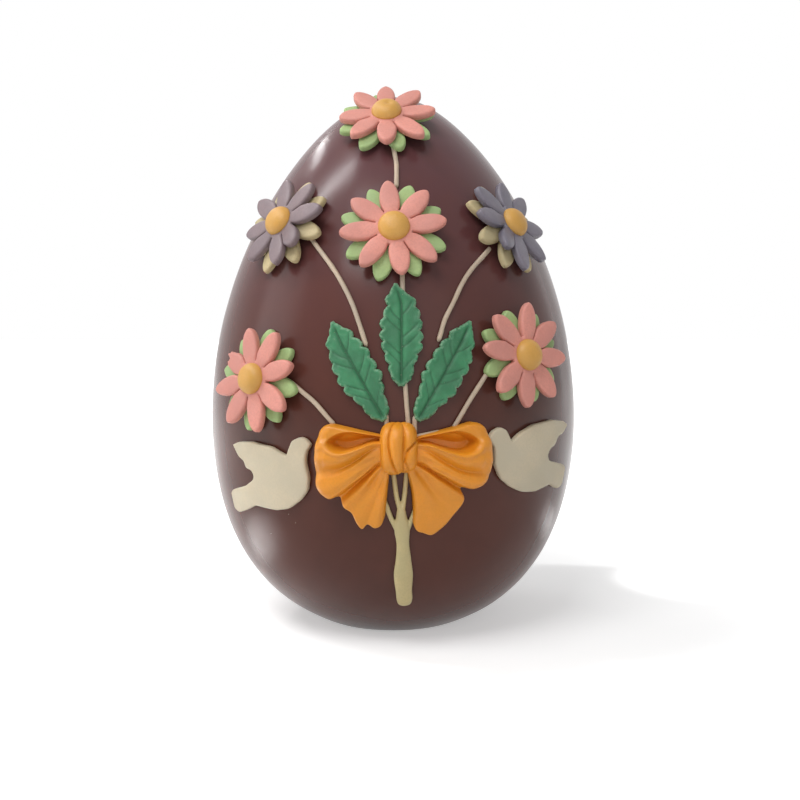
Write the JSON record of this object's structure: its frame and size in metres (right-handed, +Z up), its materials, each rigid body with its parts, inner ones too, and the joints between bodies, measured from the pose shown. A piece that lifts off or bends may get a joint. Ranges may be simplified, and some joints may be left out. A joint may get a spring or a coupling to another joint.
{
  "type": "decorated chocolate egg",
  "caption": "Large dark chocolate egg standing on a small flat foot, decorated on the front with sugar-paste daisies, leaves, doves and a bow.",
  "frame": {"origin": "middle of the flat foot that the egg stands on", "axes": "+Z up the egg, -Y towards the decorated front, +X to the right as seen from the front"},
  "size_m": [0.1402, 0.1508, 0.2015],
  "materials": {
    "chocolate": "satin dark chocolate",
    "pink": "matte pink sugar paste",
    "green": "matte pale green sugar paste",
    "yellow": "matte yellow sugar paste",
    "mauve": "matte grey mauve sugar paste",
    "cream": "matte cream sugar paste",
    "leaf": "matte green sugar paste",
    "white": "matte off-white sugar paste",
    "orange": "soft satin orange sugar paste",
    "stem": "matte beige piped icing"
  },
  "bodies": {
    "root": {"egg": "chocolate", "flower_top_under": "green", "flower_top_petals": "pink", "flower_top_button": "yellow", "flower_centre_under": "green", "flower_centre_petals": "pink", "flower_centre_button": "yellow", "flower_left_under": "green", "flower_left_petals": "pink", "flower_left_button": "yellow", "flower_right_under": "green", "flower_right_petals": "pink", "flower_right_button": "yellow", "flower_mauve_left_under": "cream", "flower_mauve_left_petals": "mauve", "flower_mauve_left_button": "yellow", "flower_mauve_right_under": "cream", "flower_mauve_right_petals": "mauve", "flower_mauve_right_button": "yellow", "leaf_centre": "leaf", "leaf_left": "leaf", "leaf_right": "leaf", "dove_left": "white", "dove_right": "white", "bow_knot": "orange", "bow_left": "orange", "bow_right": "orange", "stalk": "stem", "stem_centre_lower": "stem", "stem_centre_upper": "stem", "stem_leaf_left": "stem", "stem_leaf_right": "stem", "stem_pink_left": "stem", "stem_pink_right": "stem", "stem_side": "stem", "stem_top": "stem", "stem_upper_left": "stem", "stem_upper_right": "stem"}
  },
  "joints": []
}
